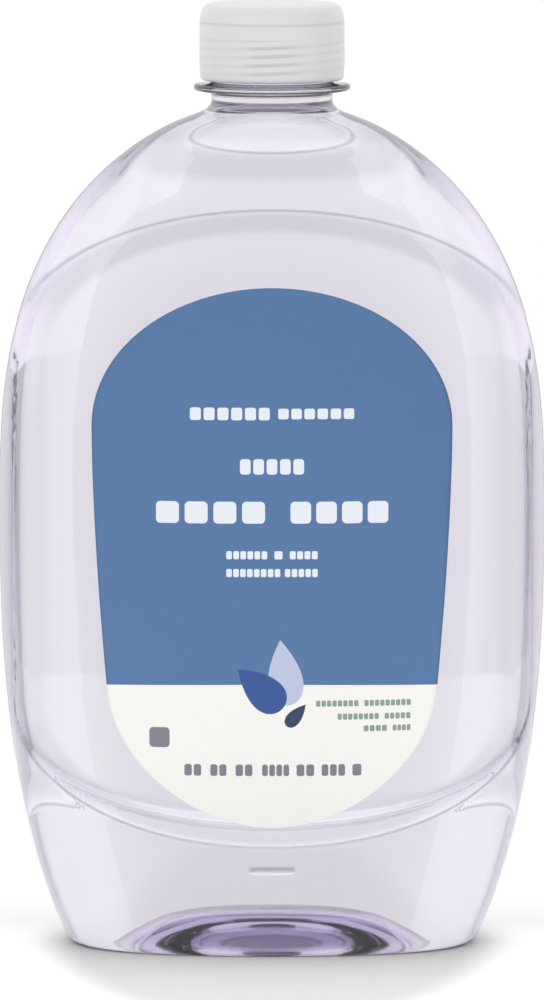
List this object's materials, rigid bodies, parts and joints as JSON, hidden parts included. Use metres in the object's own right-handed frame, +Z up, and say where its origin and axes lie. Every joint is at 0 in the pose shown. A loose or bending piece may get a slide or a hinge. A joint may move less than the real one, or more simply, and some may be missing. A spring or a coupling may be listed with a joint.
{
  "type": "hand soap refill pack",
  "caption": "Clear oval blown bottle of liquid hand soap with pressed-in label panels, a pushed-up base, a ringed neck and a translucent screw cap.",
  "frame": {"origin": "centre of the foot, on the surface that the bottle stands on", "axes": "+Z up along the neck's axis, +X across the width, -Y out of the front label"},
  "size_m": [0.1354, 0.0832, 0.234],
  "materials": {
    "clear_plastic": "polished",
    "liquid_soap": "polished",
    "cap_plastic": "satin",
    "liner_foam": "matte",
    "printed_film": "satin",
    "plain_film": "satin"
  },
  "bodies": {
    "bottle": {"bottle": "clear_plastic", "soap": "liquid_soap", "front_label": "printed_film", "back_label": "plain_film"},
    "liner": {"cap_liner": "liner_foam"},
    "cap": {"cap": "cap_plastic"}
  },
  "joints": [
    {"name": "cap_lift", "type": "slide", "parent": "bottle", "child": "liner", "axis": [0, 0, 1], "range_m": [0, 0.0255]},
    {"name": "cap_spin", "type": "hinge", "parent": "liner", "child": "cap", "pos_m": [0, 0, 0.215], "axis": [0, 0, 1], "range_deg": [0, 2160]}
  ],
  "couplings": [
    {"joint": "cap_lift", "follows": "cap_spin", "m_per_rad": 0.00067376}
  ]
}
